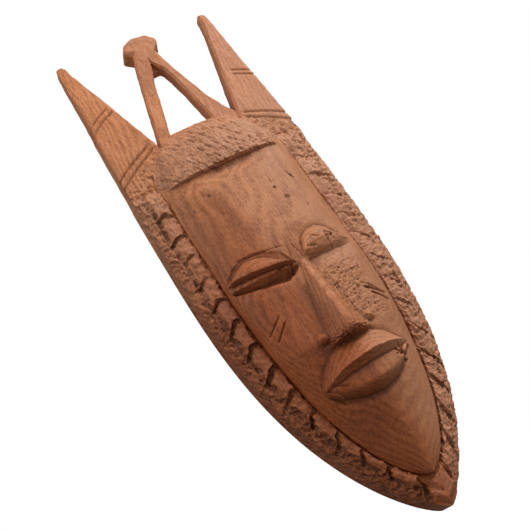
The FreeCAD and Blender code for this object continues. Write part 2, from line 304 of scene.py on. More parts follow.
# The nose, as (height, value) points: the ridge's depth, the middle's x, half-widths at the foot and on the
# ridge, and the foot's depth
NOSE_RIDGE = ((88.5, 36), (91, 44.6), (92.3, 46.6), (110, 43.2), (125, 39.6), (138, 36.2), (146, 33))
NOSE_MIDDLE = ((92, 0.2), (140, 1.8))
NOSE_FOOT = ((88, 16), (94, 14.5), (100, 12), (110, 10.6), (125, 9.4), (134, 7), (140, 4.2), (147, 1.8))
NOSE_FLAT = ((92, 1.7), (118, 1.3), (140, 1.1))
NOSE_FOOT_DEPTH = ((94, 33), (110, 33.2), (140, 31.4))
WING_X = 13.4
WING_HEIGHT = 96.3


def nose_height(x, z, ground):
    """The nose's own surface, a flat-ridged wedge with a small round wing at each side."""
    ridge, middle, foot, flat, low = follow(z, NOSE_RIDGE, NOSE_MIDDLE, NOSE_FOOT, NOSE_FLAT, NOSE_FOOT_DEPTH)
    side = clamp((np.abs(x - middle) - flat) / (foot - flat), 0, 4)
    wedge = ridge - (ridge - low) * side ** 1.1
    near = (z > 87.5) & (z < 150) & (np.abs(x) < 17)
    height = soft_max(ground, np.where(near, wedge, 0), 0.5)
    away = np.hypot((np.abs(x) - WING_X) / 5, (z - WING_HEIGHT) / 4.4)
    return soft_max(height, 38 - 5.5 * away ** 2, 0.8)


# Lines of the mouth, as (x, height) points
LIPS_TOP = ((-27, 74.5), (-21, 82.5), (-15, 87), (-10, 89.2), (0, 90.2), (10, 89.2), (17, 85.5), (23, 79),
            (26, 76))
UPPER_RIDGE = ((-26, 74), (-16, 77.2), (0, 78.3), (12, 77.9), (24, 76.6))
MOUTH_SLIT = ((-26, 73.4), (-12, 74), (0, 74.4), (12, 74.4), (24, 75))
LOWER_CROWN = ((-26, 73), (-12, 67), (0, 66.2), (12, 68), (22, 73))
LIPS_FOOT = ((-27, 73), (-20, 66.6), (-10, 62.2), (0, 60.6), (10, 63), (17, 67.8), (23, 74))
MOUTH_HALF_WIDTH = 26
UPPER_LIP_SWELL = 9.4
LOWER_LIP_SWELL = 6.6


def lips_height(x, z, ground):
    """Two pursed lips: each has a crisp ridge, and the upper one hangs over the lower."""
    top, ridge, slit, crown, foot = follow(x, LIPS_TOP, UPPER_RIDGE, MOUTH_SLIT, LOWER_CROWN, LIPS_FOOT)
    swell = np.sqrt(clamp(1 - (np.abs(x) / MOUTH_HALF_WIDTH) ** 2.2))
    high = ground + UPPER_LIP_SWELL * swell
    upper = ground + 0.3 * swell + (high - ground) * clamp((top - z) / np.maximum(top - ridge, 0.5)) ** 0.9
    hang = high - 3.4 * swell * clamp((ridge - z) / np.maximum(ridge - slit, 0.4)) ** 0.85
    low = ground + LOWER_LIP_SWELL * swell
    lower_top = low - 1.4 * swell * (1 - clamp((slit - z) / np.maximum(slit - crown, 0.4))) ** 1.6
    drop = clamp((crown - z) / np.maximum(crown - foot, 0.4))
    lower_foot = ground + (low - ground) * (1 - drop ** 1.9) ** 0.75
    height = np.where(z > ridge, upper, hang)
    height = np.where(z < slit, lower_top, height)
    height = np.where(z < crown, lower_foot, height)
    lips = (z < top) & (z > foot) & (np.abs(x) < MOUTH_HALF_WIDTH)
    crease = (0.6 * hill(z, foot - 0.4, 5) + 0.5 * hill(z, top + 0.8, 3.5)) * swell
    return np.where(lips, np.maximum(height, ground - crease), ground - crease)


FACE_CUTS = (
    # (from, to, width, depth)
    ((-34, 112), (-25, 118.4), 1.5, 1.2), ((-32, 107), (-24, 114.2), 1.5, 1.3),
    ((22, 111), (32, 103), 1.5, 1.3), ((23.5, 107), (31.5, 99), 1.5, 1.3),
    ((18, 122), (28, 122.6), 1, 0.5), ((-24.5, 74), (-17.5, 65.5), 1.6, 1.5),
    ((-26, 73.5), (-19, 63.5), 1.2, 1), ((-22, 75), (-15.5, 69.5), 1.1, 1),
    ((13.5, 75), (20, 67), 1.8, 1.8), ((15, 69.5), (20.5, 75), 1.6, 1.6),
    ((17, 77), (18.5, 66), 1.5, 1.5), ((13, 71.5), (21.5, 70.5), 1.5, 1.3),
    ((-3.2, 139), (-0.6, 151), 1.2, 0.7), ((3.4, 139.5), (1.8, 150), 1, 0.6),
    ((-30, 157.3), (-3, 151.3), 1.3, 0.55), ((-13, 140), (-5, 141.5), 1.4, 1),
    ((-6, 133), (-4.5, 141), 1.4, 1.4), ((-8, 134), (-7, 140.5), 1, 0.8),
    ((14.2, 197), (14.7, 190.5), 0.9, 0.4), ((26.3, 195.5), (29.2, 188.5), 1.1, 0.8),
    ((24.5, 112), (29.5, 104.5), 1.2, 0.9), ((20, 120.6), (27, 121.4), 0.9, 0.4),
    ((37.6, 106), (36.4, 86), 1.2, 0.8), ((39, 120), (38.2, 104), 1, 0.6),
)

KNOTS = (
    # (x, height, radius, depth)
    (-20, 200.3, 1.4, 0.9), (-22.4, 205.2, 1.1, 0.5), (14.2, 186.6, 1.2, 1), (17, 177.6, 2.4, 0.8),
    (28.3, 191.3, 1.5, 0.6), (-31, 196.5, 1.1, 0.5), (6, 163, 1, 0.4), (25, 168.5, 1, 0.4),
)

SOIL_AND_PAINTED_LIGHT = (
    # (strength, x, half-width, height, half-height)
    # dirt and painted shade under the nose
    (1.1, -3, 19, 90.8, 4.6),  # under the nose
    # painted highlight on the left lid
    (-0.35, -18, 20, 145.5, 8),  # left lid
    (0.45, 17.5, 6, 71.5, 7),  # right corner of the mouth
    (0.3, -21, 8, 69, 8),  # left corner of the mouth
    (0.34, -5, 22, 71, 10),  # lower lip
    (0.25, -15, 12, 93, 9),  # left wing of the nose
    # painted shadow of the hair band's overhang
    (0.55, 1, 30, 214.5, 3.6),  # under the hair
    # painted shade on the chin's left side
    (0.2, -22, 26, 48, 34),  # left of the chin
    (0.2, 0, 24, 67, 8),  # foot of the lower lip
    (0.16, -6, 18, 160, 28),  # low forehead
    # painted shade on the nose's left side
    (0.5, -6.5, 8, 114, 30),  # left side of the nose
    # painted highlight on the nose's ridge
    (-0.5, 1.4, 2.6, 115, 30),  # ridge of the nose
    (0.35, -18, 13, 82, 11),  # left of the upper lip
    (-0.3, 0, 26, 76.5, 5),  # slit of the mouth
    (0.2, 0, 24, 85, 7),  # upper lip
)


def face_relief(x, z):
    """Depth of the carved face at every point."""
    ground = panel(x, z) + np.where(x < 0, left_eye(x, z), right_eye(x, z))
    hollowed = (1.6 * hill(x, -14, 12) + 1.2 * hill(x, 15, 13)) * hill(z, 112, 24)
    ground = ground - hollowed - 1.3 * hill(np.abs(x), 22, 12) * hill(z, 84, 14)
    ground -= 2 * hill(x, 2, 42) * ease(204, 213.5, z)
    relief = nose_height(x, z, lips_height(x, z, ground))
    for start, end, width, depth in FACE_CUTS:
        relief -= cut_line(x, z, (start, end), width, depth)
    for at, height, radius, depth in KNOTS:
        relief -= depth * hill(np.hypot(x - at, z - height), 0, radius)
    return relief


def face_texture(points):
    """Small tool marks over the face: smoothed on the forehead and chin, chopped on the right cheek."""
    x, z, d = split(points)
    chopped = within(x, 3, 7, 22, 30) * within(z, 90, 97, 126, 136)
    under_nose = hill(z, 91.5, 5) * hill(x, -2, 20)
    lids = hill(z, 144, 9) * ease(34, 24, np.abs(x))
    away, luck = chips(x, z, 1.9, 11)
    height = -0.75 * chopped * clamp(1 - away / 0.7) * (0.3 + luck)
    height -= 1.3 * under_nose * pits(x, d + 2 * z, 2.2, 12, 0.6)
    facets = chips(x / 0.55, z / 1.5, 5, 13, 0.06)[0] ** 2
    height += 0.16 * facets + 0.22 * rough(points, (9, 16, 9), 14)
    return height + (0.07 + 0.12 * chopped + 0.1 * lids) * rough(points, (0.9, 2.2, 0.9), 15)


def face_soil_and_light(x, z):
    """Where the face is darkened, above 0, by dirt and painted shade, or lightened, below 0, by rubbing and
    painted highlights.
    """
    # painted shade in the recesses under the eyes
    soil_and_light = 0.6 * hill(x, -15, 21) * hill(z, 136.6, 5.6) * ease(-1.5, -5, x)
    soil_and_light += 0.2 * hill(x, 14, 14) * hill(z, 136, 5) * ease(2, 6, x)
    for strength, at, half_width, height, half_height in SOIL_AND_PAINTED_LIGHT:
        soil_and_light += strength * hill(x, at, half_width) * hill(z, height, half_height)
    # painted shade on the chin's left plane, left of a slanting ridge line
    off_ridge = x - 0.09 * (z - 20)
    soil_and_light += 0.34 * (ease(3, -3, off_ridge) - ease(1, 7, off_ridge)) * within(z, 18, 26, 52, 66)
    share = x / face_edge(z)
    # lighter along the face's edges, taking back painted shade of the hollows there
    soil_and_light = soil_and_light - 0.6 * ease(0.88, 1, share) * ease(110, 150, z) - 0.3 * ease(0.9, 1, -share)
    for at, height, radius, depth in KNOTS:
        soil_and_light += 1.2 * depth * hill(np.hypot(x - at, z - height), 0, radius * 1.2)
    return soil_and_light + 0.18 * within(x, 3, 7, 20, 28) * within(z, 92, 98, 124, 134)


# ---- meshes from rings

def placed(points):
    """(x, height, depth) in millimetres to the frame's (x, y, z) in metres, kept inside the CAD box."""
    x = clamp(points[..., 0], -SIDE_LIMIT, SIDE_LIMIT)
    z = clamp(points[..., 1], 0, TOP_LIMIT)
    y = -clamp(points[..., 2], 0, DEPTH_LIMIT)
    return np.stack([x * MM, y * MM, z * MM + TIP], axis=-1)


def split(points):
    return np.moveaxis(points, -1, 0)


def outward(rings):
    """Unit normals of a grid of closed rings, pointing out of the solid."""
    around = np.roll(rings, -1, axis=1) - np.roll(rings, 1, axis=1)
    normal = np.cross(np.gradient(rings, axis=0), around)
    normal = normal / np.maximum(np.linalg.norm(normal, axis=-1, keepdims=True), 1e-9)
    facing = np.sum(normal * (rings - rings.mean(axis=1, keepdims=True)))
    return normal if facing > 0 else -normal


def blurred(values, reach):
    """Average over a window of the grid, along the piece and around its closed rings."""
    count = 2 * reach + 1
    for axis, mode in ((0, "edge"), (1, "wrap")):
        pad = [(0, 0)] * values.ndim
        pad[axis] = (reach + 1, reach)
        total = np.moveaxis(np.cumsum(np.pad(values, pad, mode=mode), axis=axis), axis, 0)
        values = np.moveaxis(total[count:] - total[:-count], 0, axis) / count
    return values


def hollowness(rings, normal):
    """-1 on worn edges, 0 on flats, 1 in cuts and corners."""
    near = np.sum((blurred(rings, 3) - rings) * normal, axis=-1)
    far = np.sum((blurred(rings, 9) - rings) * normal, axis=-1)
    return clamp(near / 0.7 + far / 2.6, -1, 1)


def displaced(rings, height):
    return rings + outward(rings) * height[..., None]


def new_object(name, data):
    made = bpy.data.objects.new(name, data)
    scene.collection.objects.link(made)
    return made


def carved(name, rings, marked_soil_and_light=0):
    """A closed mesh piece lofted through rings of points, with capped ends, and its dirt, wear and painted
    light marked.
    """
    count, size = rings.shape[:2]
    index = np.arange(count * size).reshape(count, size)
    after = np.roll(index, -1, axis=1)
    quads = np.stack([index[:-1], after[:-1], after[1:], index[1:]], axis=-1).reshape(-1, 4)
    points = placed(rings).reshape(-1, 3)
    a, b, c, d = (points[quads[:, i]] for i in range(4))
    volume = np.sum(np.cross(b, c) * a) + np.sum(np.cross(c, d) * a)
    caps = [index[0][::-1].tolist(), index[-1].tolist()]
    if volume < 0:
        quads = quads[:, ::-1]
        caps = [cap[::-1] for cap in caps]
    mesh = bpy.data.meshes.new(name)
    mesh.from_pydata(points.tolist(), [], quads.tolist() + caps)
    mesh.polygons.foreach_set("use_smooth", [True] * len(mesh.polygons))
    mesh.set_sharp_from_angle(angle=SHARP_ANGLE)
    # the mark is above 0 in hollows and soiled places (dirt and painted shade), below 0 on edges (wear and
    # painted highlights)
    layer = mesh.attributes.new("hollowness", "FLOAT", "POINT")
    marks = clamp(hollowness(rings, outward(rings)) + marked_soil_and_light, -1, 1)
    layer.data.foreach_set("value", marks.astype(np.float32).ravel())
    mesh.update()
    return new_object(name, mesh)


# ---- the carved pieces

def stack(x, z, depth):
    return np.stack(np.broadcast_arrays(x, z, depth), axis=-1)


def pecks(x, side, deep, fine):
    """Depth of pecked pits in two sizes, each to its own depth."""
    away, luck = chips(x, side, 3, 21)
    depth = deep * clamp(1 - (away / 0.62) ** 2) * (0.25 + luck)
    return depth + fine * pits(x + 3, side, 1.6, 22, 0.55)


def squared(z, corners, counts):
    """One ring of a squared bar: points from each (x, depth) corner to the next."""
    loop = []
    for (x0, d0), (x1, d1), count in zip(corners, corners[1:] + corners[:1], counts):
        share = np.linspace(0, 1, count, endpoint=False)[:, None]
        loop.append(np.array([[x0, z, d0]]) * (1 - share) + np.array([[x1, z, d1]]) * share)
    return np.concatenate(loop)


def make_face():
    rows, columns, wall_rows, back_columns = 440, 204, 10, 46
    heights = np.linspace(FACE_FOOT + 0.4, FACE_TOP + 1.5, rows)[:, None]
    even = np.linspace(-1, 1, columns)
    t = 0.7 * even + 0.3 * np.sin(even * math.pi / 2)
    edge = face_edge(heights)
    front = stack(t * edge, heights, face_relief(t * edge, heights))
    drop = np.linspace(19.3, 12, wall_rows)
    right_wall = stack(edge, heights, drop)
    left_wall = stack(-edge, heights, drop[::-1])
    back_t = np.linspace(0.93, -0.93, back_columns)
    back_depth = clamp(lining_depth(back_t * edge, heights + 0 * back_t) + 2.4, 12, 22.4)
    back = stack(back_t * edge, heights, back_depth)
    rings = np.concatenate([front, right_wall, back, left_wall], axis=1)
    rings = displaced(rings, face_texture(rings))
    return carved("carved_face", rings, face_soil_and_light(rings[..., 0], rings[..., 1]))


def lengths_along(line):
    """Distance along a line of points, at each of them."""
    return np.concatenate([[0], np.cumsum(np.linalg.norm(np.diff(line, axis=0), axis=1))])


def path_tables():
    """Inner and outer edge of the border from the tip to the shoulder, evenly spaced, and its length."""
    step = np.linspace(0, 1, 3000) ** 2
    even = np.linspace(0, 1, 1200)
    tables = []
    for foot, edge in ((FACE_FOOT, face_edge), (0, outline)):
        z = foot + (SHOULDER - foot) * step
        line = np.stack([edge(z), z], axis=-1)
        gone = lengths_along(line)
        tables.append(np.stack([np.interp(even, gone / gone[-1], line[:, i]) for i in range(2)], axis=-1))
    inner, outer = tables
    return inner, outer, lengths_along(0.45 * outer + 0.55 * inner)


INNER_LINE, OUTER_LINE, PATH_LENGTH = path_tables()


def border_place(run):
    """Inner and outer points of the border at a signed run along it from the tip (right is positive)."""
    share = np.interp(np.abs(run), PATH_LENGTH, np.arange(len(PATH_LENGTH)))
    side = np.where(run < 0, -1, 1)
    corners = []
    for line in (INNER_LINE, OUTER_LINE):
        x, z = (np.interp(share, np.arange(len(line)), line[:, i]) for i in range(2))
        corners.append(np.stack([x * side, z], axis=-1))
    return corners


# The border's section, as (share of the way from the face out to the outline, depth) points
LEFT_SECTION = ((-0.1, 17.4), (0.02, 18.4), (0.06, 20.4), (0.12, 21.6), (0.35, 21.9), (0.52, 21.4),
                (0.57, 20.4), (0.63, 18.3), (0.78, 17.6), (0.92, 16.2), (1, 14.4))
RIGHT_SECTION = ((-0.1, 18.4), (0.02, 18.9), (0.06, 20), (0.14, 20.6), (0.3, 20.9), (0.5, 20.6),
                 (0.7, 19.8), (0.88, 18.6), (1, 16.4))


def border_relief(run, w, x, z):
    """Depth of the border's top: groove, row of blocks with notches, rough outer strip."""
    far = np.abs(run)
    right = run > 0
    left = ~right
    flat = stack(x, z, 0 * x)
    w = w + np.where(right, 0.035, 0.06) * rough(flat, 8, 91) + 0.02 * rough(flat, 2.5, 92)
    body = np.where(right, follow(w, RIGHT_SECTION), follow(w, LEFT_SECTION))
    body -= 2.2 * ease(0.1, 0.03, w) * ease(135, 100, z) * right
    filled = 1.4 * ease(0.08, 0.02, w) + 0.9 * ease(0.55, 0.64, w)
    body += filled * (0.5 + 0.5 * ease(115, 150, z)) * left
    body += 1.6 * ease(0.12, 0.02, w) * ease(110, 140, z) * right
    slant = np.where(right, 4, -4) * (w - 0.35) - 2 * hill(w, 0.33, 0.3) * left
    slant += 2.2 * rough(flat, 6, 93)
    place = (far - CHIN_REACH + slant) / BLOCK_SPACING
    number = np.floor(place).astype(np.int64)
    part = place - number
    luck = [chance(number, right.astype(np.int64), k, 5) for k in (2, 3, 4, 6, 7)]
    tilt = (luck[0] - 0.5) * 2.2 * (part - 0.5) * 2
    lean = (luck[1] - 0.5) * 4.5 * (w - 0.3)
    lift = (luck[2] - 0.5) * 1.2
    width = 0.9 + 1.2 * luck[3]
    left_deep = 0.6 + 1.5 * luck[4] + 0.6 * ease(120, 70, z)
    deep = np.where(right, 0.8 + 1.5 * ease(95, 62, z), left_deep) * (0.5 + 0.75 * ease(0.1, 0.5, w))
    from_notch = np.minimum(1.5 * part, 0.8 * (1 - part)) * BLOCK_SPACING
    on_blocks = within(w, 0.03, 0.09, 0.59, 0.67) * ease(217, 211, z)
    across = on_blocks + (1 - on_blocks) * np.where(right, 0.3, 0.25) * ease(0.5, 0.62, w)
    notch = clamp(1 - from_notch / width) ** 0.8 + 0.2 * clamp(1 - from_notch / (2.2 * width))
    height = body + on_blocks * (tilt + lean + lift) - deep * notch * across
    plain = 20.2 - 2.6 * ease(0.7, 1, w) - 2 * ease(0.12, 0, w)
    chin = ease(CHIN_REACH + 0.6, CHIN_REACH - 1.2, far)
    height = height * (1 - chin) + plain * chin
    top = ease(214, 227, z)
    return height * (1 - top) + (18.5 - 1.6 * ease(222, 228, z)) * top


def on_chin_block(run):
    return ease(CHIN_REACH + 0.5, CHIN_REACH - 1.5, np.abs(run))


def border_texture(points, w, run):
    """Pecked pits and chopped facets, roughest on the outer strip, in the groove and on the right."""
    x, z, d = split(points)
    chin = on_chin_block(run)
    right = np.where(run > 0, 1, 0)
    calm = 1 - (0.2 + 0.3 * right) * ease(0.84, 1, w)
    tops = within(w, 0.05, 0.1, 0.54, 0.6) * ease(217, 211, z)
    pecked = (1 - tops * (0.8 - 0.45 * right)) * (1 - 0.85 * chin) * calm
    pecked *= 1 - 0.65 * right * ease(0.42, 0.3, w) * ease(125, 145, z)
    side = z + 0.7 * d
    height = -pecks(x, side, (1.2 - 0.2 * right) * pecked, 0.6 * pecked)
    facets = chips(x, z + d, 4.4, 23)[0] ** 2
    planes = chips(x + z, 1.2 * side, 6.5, 29)[0]
    height -= 0.9 * tops * (1 - right) * clamp(planes, 0, 1.2)
    height += (0.5 + 0.1 * right) * facets * (1 - 0.7 * chin) * calm
    height += 0.7 * pecked * rough(points, 3.6, 24) + 0.14 * rough(points, 1, 25)
    shoulder = ease(210, 226, z) * ease(0.9, 1, w)
    height = (height - 0.2) * (1 - shoulder) - 0.4 * shoulder
    return height * ease(0.2, 5, z)


def border_soil_and_shade(points, w, run):
    """Dirt and painted shade on the outer strip and the side wall, strongest low on the left; the groove and
    the right side lighter; patchy.
    """
    z = points[..., 1]
    right = run > 0
    # painted shade: the outer strip darker towards the bottom, more on the left
    outer = ease(0.5, 0.62, w) * (0.34 - 0.26 * right) * ease(190, 60, z)
    inner = (-0.1 - 0.15 * right - 0.25 * ease(110, 150, z)) * ease(0.12, 0.03, w)
    # the right side lighter: painted light on the side that faces the lamp
    patches = 0.22 * rough(points, 9, 26) + 0.18 * rough(points, 2.5, 27) - 0.25 * right
    patches = patches - 0.25 * ease(100, 170, z) - 0.16 * within(w, 0.1, 0.2, 0.5, 0.6)
    return (outer + inner + patches) * (1 - 0.6 * on_chin_block(run))


def make_border(name, start, end):
    """A length of the border, between two signed runs from the tip."""
    ring_spacing, wall_points, hidden_points = 0.5, 25, 4
    run = np.linspace(start, end, int(abs(end - start) / ring_spacing) + 3)
    inner, outer = border_place(run)
    w = np.concatenate([[-0.09, -0.04], np.linspace(0, 1, 44)])
    between = inner[:, None, :] * (1 - w[None, :, None]) + outer[:, None, :] * w[None, :, None]
    x, z = between[..., 0], between[..., 1]
    top_depth = border_relief(run[:, None] + 0 * x, w[None, :] + 0 * x, x, z)
    share = np.linspace(0, 1, wall_points + 1)[1:]
    edge_depth = top_depth[:, -1:]
    wall = stack(outer[:, :1], outer[:, 1:], edge_depth + (0.3 - edge_depth) * share[None, :])
    loops = [stack(x, z, top_depth), wall]
    for place, depth in ((0.9, 0.7), (0.55, 3), (0.3, 9), (-0.09, 12)):
        spot = inner * (1 - place) + outer * place
        loops.append(stack(spot[:, :1], spot[:, 1:], depth))
    rings = np.concatenate(loops, axis=1)
    w_all = np.concatenate([w, np.full(wall_points, 1), np.full(hidden_points, 0)])[None, :]
    height = border_texture(rings, w_all, run[:, None])
    height[:, -hidden_points - 1:] = 0
    rings = displaced(rings, height)
    return carved(name, rings, border_soil_and_shade(rings, w_all, run[:, None]))


# The hair band, as (height, value) points: half-width, depth in the middle and at the ends, back's
# half-width. HAIR_HIDDEN counts each ring's points on the back and underneath.
HAIR_WIDTH = ((216, 41.2), (228, 40), (243, 34.5), (258, 26.2))
HAIR_DEPTH = ((216.6, 29.2), (217.4, 30.6), (222, 30.8), (228, 29.8), (243, 26.4), (252, 21.5), (258, 15.5))
HAIR_END_DEPTH = ((216, 18.8), (228, 18.6), (245, 16.8), (252, 14.5), (258, 10.5))
HAIR_BACK = ((226.5, 48), (243, 42), (250, 36), (255, 29), (257.4, 26.2))
HAIR_FOOT_WIDTH = 41.2
HAIR_TOP_WIDTH = 26.2
HAIR_HIDDEN = 22


def make_hair():
    even = np.linspace(-1, 1, 230)
    u = 0.8 * even + 0.2 * np.sin(even * math.pi / 2)
    heights = np.linspace(216.6, 258, 112)
    half, deep, ends = follow(heights, HAIR_WIDTH, HAIR_DEPTH, HAIR_END_DEPTH)
    wave = 0.6 * np.sin(u * 5 + 1) + 0.5 * np.sin(u * 11)
    back_z = np.linspace(257.4, 226.5, 20)
    back_x = follow(back_z, HAIR_BACK)
    rings = []
    for place, ripple in zip(u, wave):
        end_share = ease(0.8, 1, abs(place))
        front_d = deep * (1 - 0.27 * abs(place) ** 2.6) * (1 - end_share) + ends * end_share
        sag = (0.9 * place ** 2 + 0.25 * ripple) * ease(225, 216.6, heights)
        lip_z = np.array([217.2, 216.4, 216.2]) + sag[0]
        lip_d = np.array([17, 0.35 * 17 + 0.65 * front_d[0], front_d[0] - 1.2])
        top_z = 258.2 + 2 * (1 - place ** 2) * np.sin(np.linspace(0.3, 2.6, 21))
        back_d = 0.25 + 1.6 * ease(0.72, 1, abs(place)) * ease(257, 251, back_z)
        rings.append(np.concatenate([
            stack(place * HAIR_FOOT_WIDTH, lip_z, lip_d),
            stack(place * half, heights + sag, front_d),
            stack(place * HAIR_TOP_WIDTH, top_z, np.linspace(front_d[-1], 0.8, 22)[1:]),
            stack(place * back_x, back_z, back_d),
            [[place * 40, 225.5, 6], [place * HAIR_FOOT_WIDTH, 219, 12]],
        ]))
    rings = np.array(rings)
    x, z, d = split(rings)
    side = z + 0.5 * d
    leaning = (x + 0.35 * (z - 235)) / 0.8
    away, luck = chips(leaning, side / 1.4, 4, 31, 0.25)
    height = 0.7 * clamp(away, 0, 1.1) ** 1.4 * (0.3 + luck)
    gouge, chosen = chips(leaning, side / 1.3, 3.6, 35, 0.4)
    height -= 0.95 * clamp(1 - (gouge / 0.48) ** 2) * ease(0.35, 0.95, chosen)
    height -= 0.36 * pits(x, side, 2.1, 32, 0.55)
    height += 0.7 * rough(rings, (4, 6, 4), 33) + 0.17 * rough(rings, 1.3, 34) - 0.4
    height *= 1 - 0.6 * ease(256, 258.2, z)
    height[:, -HAIR_HIDDEN:-2] = 0.2 * rough(rings, (5, 14, 5), 83)[:, -HAIR_HIDDEN:-2]
    height[:, -2:] = 0
    rings = displaced(rings, height)
    return carved("carved_hair_band", rings, 0.2 * rough(rings, 6, 36) - 0.2)


HORN_CUTS = {
    # (from, to, width, depth, bend)
    -1: (((-62, 276), (-38.5, 294.6), 2.2, 0.95, 2.6), ((-62, 271), (-34.6, 291.6), 2.2, 0.95, 2.8),
         ((-65, 233.5), (-28.5, 257), 2.3, 1, 1.8), ((-65, 227.5), (-26, 254), 2.3, 1, 1.6)),
    1: (((42.6, 285.8), (60, 275.8), 2.2, 0.85, 0.6), ((42, 282.2), (60, 271.8), 2.2, 0.85, 0.6),
        ((30.6, 251.6), (62, 233.6), 2.3, 0.9, 1.8), ((31.6, 247.4), (62, 226.5), 2.2, 0.85, 1.5)),
}
# Each horn, as (height, value) points: the inner edge's x, how far it stands out past the outline, the depths
# of its back and front, and the round of its outer edge
HORN_INNER = {
    -1: ((224, 15.7), (252, 24.3), (258, 25.8), (331, 45.9), (336, 46.8), (342, 47.4)),
    1: ((224, 15.7), (246, 27.2), (252, 29), (258, 30.6), (285, 36.9), (305, 41.6), (326, 46.2),
        (336, 47.6), (342, 48)),
}
HORN_OUTER = ((220, 0), (228, 0.15), (260, 0.1), (300, 0), (332, 0.9), (342, 0.9))
HORN_BACK = ((224, 0.25), (258, 0.5), (336, 3.5), (340, 4.2), (342, 6))
HORN_FRONT = ((220, 15), (225, 17.8), (228.5, 18.3), (258, 17), (336, 13.5), (339, 12.8), (341, 11.4),
              (342, 9.6))
HORN_ROUND = ((228, 1.2), (245, 2.2), (300, 2.2), (318, 1.8), (342, 1.4))
HORN_DOME = 337.4  # height where the tip starts to close
HORN_TIP_X = 50.6
HORN_COUNTS = (24, 4, 58, 4, 4, 4, 22, 4, 26, 4)


def make_horn(side, name):
    tip = HORN_DOME + 4.5 * np.sin(np.linspace(0.03, math.pi / 2, 18))
    heights = np.concatenate([np.linspace(SHOULDER - 8, HORN_DOME, 246), tip])
    dome = np.sqrt(clamp(1 - clamp((heights - HORN_DOME) / 4.65) ** 2))
    inner = HORN_TIP_X + (follow(heights, HORN_INNER[side]) - HORN_TIP_X) * dome
    outer = HORN_TIP_X + (outline(heights) + follow(heights, HORN_OUTER) - HORN_TIP_X) * dome
    near, deep, rounded = follow(heights, HORN_BACK, HORN_FRONT, HORN_ROUND)
    rounded = rounded * (1 if side < 0 else 0.7)
    rings = []
    for z, x0, x1, d0, d1, f in zip(heights, inner, outer, near, deep, rounded):
        c = min(1.5 + 1.2 * max(0, (z - 318) / 22), 0.3 * (x1 - x0), 0.3 * (d1 - d0))
        f = min(f, 0.4 * (x1 - x0), 0.4 * (d1 - d0))
        top = d1 - 0.3
        corners = [(x0, d0 + c), (x0, d1 - c), (x0 + c, d1), (x1 - f, top), (x1 - 0.45 * f, top - 0.14 * f),
                   (x1 - 0.14 * f, top - 0.45 * f), (x1, top - f), (x1, d0 + c), (x1 - c, d0), (x0 + c, d0)]
        rings.append(squared(z, corners, HORN_COUNTS))
    rings = np.array(rings) * (side, 1, 1)
    x, z, d = split(rings)
    facets = chips((x + d) / 0.6, z / 2.2, 5.5, 41 + side, 0.05)[0] ** 2
    height = 0.42 * facets + 0.35 * rough(rings, (7, 16, 7), 42) - 0.3
    height += 0.12 * rough(rings, (0.9, 2.5, 0.9), 43)
    edge = ease(1.5, -2.5, z - follow(np.abs(x), ((20, 256), (27, 252), (57, 231.5)))) * ease(3, 7, d)
    height = height - pecks(x, z + 0.7 * d, 0.8 * edge, 0.3 * edge) + 0.5 * edge * rough(rings, 3.6, 24)
    height -= 0.3 * ease(322, 334, z) * pits(x, z + d, 1.7, 44, 0.55)
    for start, end, width, depth, bend in HORN_CUTS[side]:
        bow = bend * np.sin(clamp((x - start[0]) / (end[0] - start[0])) * math.pi)
        height -= cut_line(x, z - bow, (start, end), width, depth) * ease(4, 8, d)
    return carved(name, displaced(rings, height))


def bar(name, stations, seed, cuts=0.32):
    """A squared bar through (height, low x, high x, near depth, far depth) stations, with knife facets."""
    c = 1.5
    heights = np.arange(stations[0][0], stations[-1][0], 0.45)
    at, *columns = zip(*stations)
    rings = []
    for z, x0, x1, d0, d1 in zip(heights, *(np.interp(heights, at, column) for column in columns)):
        corners = [(x0, d0 + c), (x0, d1 - c), (x0 + c, d1), (x1 - c, d1), (x1, d1 - c), (x1, d0 + c),
                   (x1 - c, d0), (x0 + c, d0)]
        rings.append(squared(z, corners, (20, 4) * 4))
    rings = np.array(rings)
    x, z, d = split(rings)
    facets = chips((x + d) / 0.7, z / 2, 4.2, seed, 0.06)[0] ** 2
    height = cuts * facets + 0.3 * rough(rings, (4, 9, 4), seed + 1) - 0.3
    height += 0.1 * rough(rings, (0.8, 2.2, 0.8), seed + 2)
    return carved(name, displaced(rings, height))


LEFT_STRUT = ((250, -25.6, -15.6, 3.5, 15.5), (258, -23.4, -14, 3.8, 15.5), (270, -20.2, -11, 4, 15),
              (300, -13, -3.4, 4, 14.6), (318, -8.4, 2.6, 4, 15.4), (327, -6, 5, 5.5, 15.8))
RIGHT_STRUT = ((250, 14, 32.5, 3.5, 15.8), (257, 14.4, 29.8, 3.8, 15.6), (262, 13.8, 26.8, 4, 15.2),
               (276, 12.2, 21, 4, 14.8), (288, 10.6, 18, 4, 14.6), (300, 8.4, 14.9, 4, 14.5),
               (308, 6.4, 12.7, 4, 14.7), (315.5, 1.4, 10.9, 4, 15), (327, -2, 8, 5.5, 15.8))
WEB = ((311, -1.6, 7.4, 4.2, 9.6), (322, -3, 6, 4.2, 10.4))

KNOB_MIDDLE = (1.2, 330.2, 10.6)
KNOB_ENDS = (
    # (direction, distance) of the cuts on its front and back
    ((0.06, -0.1, 1), 5.4), ((0, 0, -1), 5.4), ((-0.12, -0.5, 0.86), 6.6),
)
# (angle, distance) of the cuts around it
KNOB_SIDES = ((4, 12.5), (46, 10.3), (84, 8), (118, 8.7), (152, 11), (196, 12.6), (232, 9.4), (270, 6.8),
              (322, 10))
KNOB_BLEND = 60  # the higher, the sharper between two cuts


